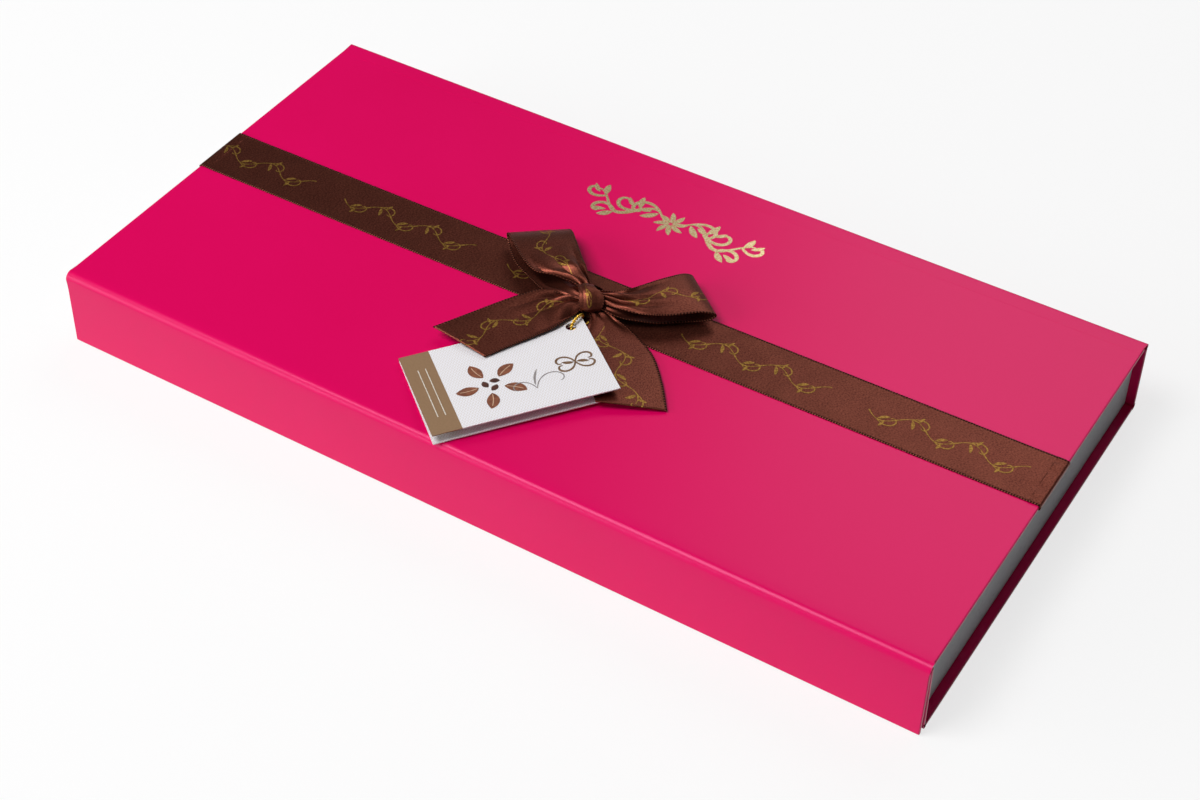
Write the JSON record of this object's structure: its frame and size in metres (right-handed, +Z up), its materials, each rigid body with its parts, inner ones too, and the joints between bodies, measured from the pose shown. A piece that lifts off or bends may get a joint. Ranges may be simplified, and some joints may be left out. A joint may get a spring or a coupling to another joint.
{
  "type": "chocolate gift box",
  "caption": "Shallow rigid gift box with a magnetic front flap and a hinged lid, a tray of chocolates inside, and a satin ribbon with a bow and a folded tag round the lid.",
  "frame": {"origin": "under the middle of the box, on the surface it stands on", "axes": "+X along the length, +Y towards the hinged back, +Z up"},
  "size_m": [0.3612, 0.1814, 0.0435],
  "materials": {
    "wrap_paper": "satin",
    "greyboard": "matte",
    "tray_board": "matte",
    "magnet": "satin",
    "divider_card": "matte",
    "cup_paper": "matte",
    "milk_chocolate": "satin",
    "dark_chocolate": "satin",
    "white_chocolate": "satin",
    "satin_ribbon": "satin",
    "glue": "gloss",
    "tag_card": "satin",
    "gold_cord": "gloss"
  },
  "bodies": {
    "case": {"base_board": "greyboard", "base_wrap": "wrap_paper", "base_liner": "wrap_paper", "front_board": "greyboard", "front_wrap": "wrap_paper", "front_liner": "wrap_paper", "spine_board": "greyboard", "spine_wrap": "wrap_paper", "spine_liner": "wrap_paper", "wall_magnets": "magnet", "base_front_gutter": "wrap_paper", "base_back_gutter": "wrap_paper", "tray_floor": "tray_board", "tray_left_wall": "tray_board", "tray_right_wall": "tray_board", "tray_front_wall": "tray_board", "tray_back_wall": "tray_board", "long_dividers": "divider_card", "cross_dividers": "divider_card", "paper_cups": "cup_paper", "square_pralines": "milk_chocolate", "nut_bars": "dark_chocolate", "oval_pralines": "white_chocolate", "rosette_pralines": "milk_chocolate"},
    "lid": {"lid_board": "greyboard", "lid_wrap": "wrap_paper", "lid_liner": "wrap_paper", "lid_gutter": "wrap_paper", "flap_gutter": "wrap_paper", "ribbon_band": "satin_ribbon", "bow_glue": "glue", "bow_knot": "satin_ribbon", "bow_left_loop": "satin_ribbon", "bow_right_loop": "satin_ribbon", "bow_left_tail": "satin_ribbon", "bow_right_tail": "satin_ribbon"},
    "flap": {"flap_board": "greyboard", "flap_wrap": "wrap_paper", "flap_liner": "wrap_paper", "flap_magnets": "magnet"},
    "tag": {"tag_fold": "tag_card", "tag_back_leaf": "tag_card", "tag_cord": "gold_cord", "tag_cord_knot": "gold_cord"},
    "tag_leaf": {"tag_front_leaf": "tag_card"}
  },
  "joints": [
    {"name": "lid_hinge", "type": "hinge", "parent": "case", "child": "lid", "pos_m": [0, 0.08886, 0.0307], "axis": [-1, 0, 0], "range_deg": [0, 180], "deforming": ["lid_gutter"]},
    {"name": "flap_hinge", "type": "hinge", "parent": "lid", "child": "flap", "pos_m": [0, -0.08754, 0.0307], "axis": [-1, 0, 0], "range_deg": [-2.5, 85], "deforming": ["flap_gutter"]},
    {"name": "tag_swing", "type": "hinge", "parent": "lid", "child": "tag", "pos_m": [-0.001, -0.00234, 0.03285], "axis": [0, 0, 1], "range_deg": [-10, 12], "deforming": ["bow_right_tail"]},
    {"name": "tag_open", "type": "hinge", "parent": "tag", "child": "tag_leaf", "pos_m": [-0.0011, -0.00907, 0.03504], "axis": [-0.6278, -0.7781, -0.0209], "range_deg": [0, 60], "deforming": ["bow_left_tail", "tag_fold", "tag_cord"]}
  ]
}
